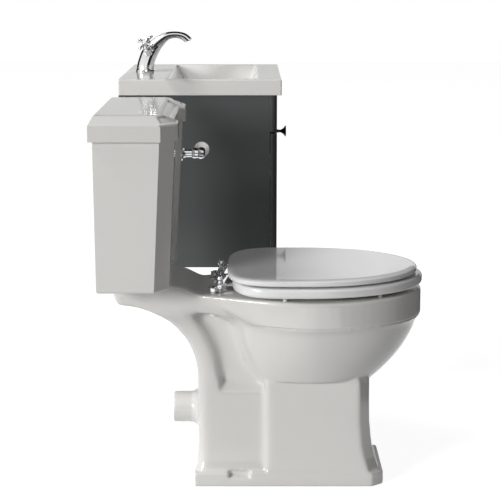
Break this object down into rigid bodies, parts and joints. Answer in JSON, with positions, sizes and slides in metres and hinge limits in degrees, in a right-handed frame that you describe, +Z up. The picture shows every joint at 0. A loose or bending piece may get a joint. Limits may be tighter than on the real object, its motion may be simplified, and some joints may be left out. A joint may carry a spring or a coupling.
{
  "type": "close-coupled toilet and wall-hung vanity set",
  "caption": "Close-coupled pedestal toilet with lever cistern and hinged seat, set beside a wall-hung vanity cabinet with a ceramic basin and a crosshead mixer tap.",
  "frame": {"origin": "centre of the footprint of the whole set, on the floor", "axes": "+X to the right along the wall, from the toilet to the vanity; +Y to the wall; +Z up; the fronts face -Y"},
  "size_m": [1.153, 0.695, 0.9365],
  "materials": {
    "ceramic": "gloss white glaze",
    "seat_paint": "high-gloss white lacquer over a wooden board",
    "chrome": "polished",
    "brass": "machined",
    "rubber": "matt",
    "white_plastic": "satin",
    "float_plastic": "satin",
    "index_cap": "glazed, plain",
    "cabinet_paint": "satin dark grey paint on board",
    "knob_paint": "satin black",
    "steel": "zinc plated"
  },
  "bodies": {
    "body": {"pan": "ceramic", "cistern": "ceramic", "coupling_washer": "rubber", "coupling_bolts": "brass", "coupling_cushions": "rubber", "coupling_nuts": "brass", "siphon_housing": "white_plastic", "siphon_nut": "white_plastic", "fill_valve": "white_plastic", "fill_valve_nut": "white_plastic", "lever_rosette": "chrome", "lever_nut": "white_plastic", "hinge_bushes": "white_plastic", "hinge_studs": "chrome", "hinge_nuts": "white_plastic", "hinge_posts": "chrome", "hinge_bar": "chrome", "basin": "ceramic", "basin_waste": "chrome", "waste_washer": "rubber", "waste_nut": "chrome", "tap_body": "chrome", "tap_shank": "brass", "tap_sockets": "brass", "tap_base_ring": "chrome", "tap_washer": "rubber", "tap_nut": "brass", "valve_bonnets": "chrome", "aerator": "chrome", "cabinet_left_side": "cabinet_paint", "cabinet_right_side": "cabinet_paint", "cabinet_base": "cabinet_paint", "cabinet_back_rails": "cabinet_paint", "cabinet_front_rails": "cabinet_paint", "fascia": "cabinet_paint", "hinge_arms": "steel", "hanging_brackets": "steel", "wall_plates": "steel"},
    "cistern_lid": {"cistern_lid": "ceramic"},
    "lever": {"flush_lever": "chrome", "lever_ball": "ceramic", "lever_crank": "white_plastic"},
    "piston": {"siphon_piston": "white_plastic"},
    "float": {"fill_float": "float_plastic"},
    "seat": {"seat_ring": "seat_paint", "seat_arms": "chrome", "seat_buffers": "white_plastic"},
    "lid": {"seat_lid": "seat_paint", "lid_arms": "chrome", "lid_buffers": "white_plastic"},
    "door": {"door_frame": "cabinet_paint", "door_panel": "cabinet_paint", "door_knob": "knob_paint", "hinge_cups": "steel"},
    "tap_left": {"crosshead_left": "chrome", "index_cap_left": "index_cap"},
    "tap_right": {"crosshead_right": "chrome", "index_cap_right": "index_cap"},
    "plug": {"waste_plug": "chrome"}
  },
  "joints": [
    {"name": "seat_hinge", "type": "hinge", "parent": "body", "child": "seat", "pos_m": [-0.3535, 0.0895, 0.437], "axis": [-1, 0, 0], "range_deg": [0, 88]},
    {"name": "lid_hinge", "type": "hinge", "parent": "seat", "child": "lid", "pos_m": [-0.3535, 0.0895, 0.437], "axis": [1, 0, 0], "range_deg": [-88, 0]},
    {"name": "cistern_lid_lift", "type": "slide", "parent": "body", "child": "cistern_lid", "axis": [0, 0, 1], "range_m": [0, 0.15]},
    {"name": "lever_turn", "type": "hinge", "parent": "body", "child": "lever", "pos_m": [-0.2025, 0.1795, 0.69], "axis": [0, 1, 0], "range_deg": [0, 20], "stiffness_Nm_per_rad": 0.4, "springref_deg": -20.05},
    {"name": "piston_lift", "type": "slide", "parent": "body", "child": "piston", "axis": [0, 0, 1], "range_m": [0, 0.035]},
    {"name": "float_rise", "type": "slide", "parent": "body", "child": "float", "axis": [0, 0, 1], "range_m": [0, 0.06]},
    {"name": "door_swing", "type": "hinge", "parent": "body", "child": "door", "pos_m": [0.0815, -0.0415, 0.53], "axis": [0, 0, -1], "range_deg": [0, 95]},
    {"name": "tap_left_turn", "type": "hinge", "parent": "body", "child": "tap_left", "pos_m": [0.3105, 0.2875, 0.879], "axis": [-0.568, 0.2446, 0.7859], "range_deg": [0, 90]},
    {"name": "tap_right_turn", "type": "hinge", "parent": "body", "child": "tap_right", "pos_m": [0.3425, 0.2875, 0.879], "axis": [-0.568, -0.2446, -0.7859], "range_deg": [0, 90]},
    {"name": "plug_click", "type": "slide", "parent": "body", "child": "plug", "axis": [0, 0, 1], "range_m": [0, 0.008]}
  ],
  "couplings": [
    {"joint": "piston_lift", "follows": "lever_turn", "m_per_rad": 0.1}
  ]
}
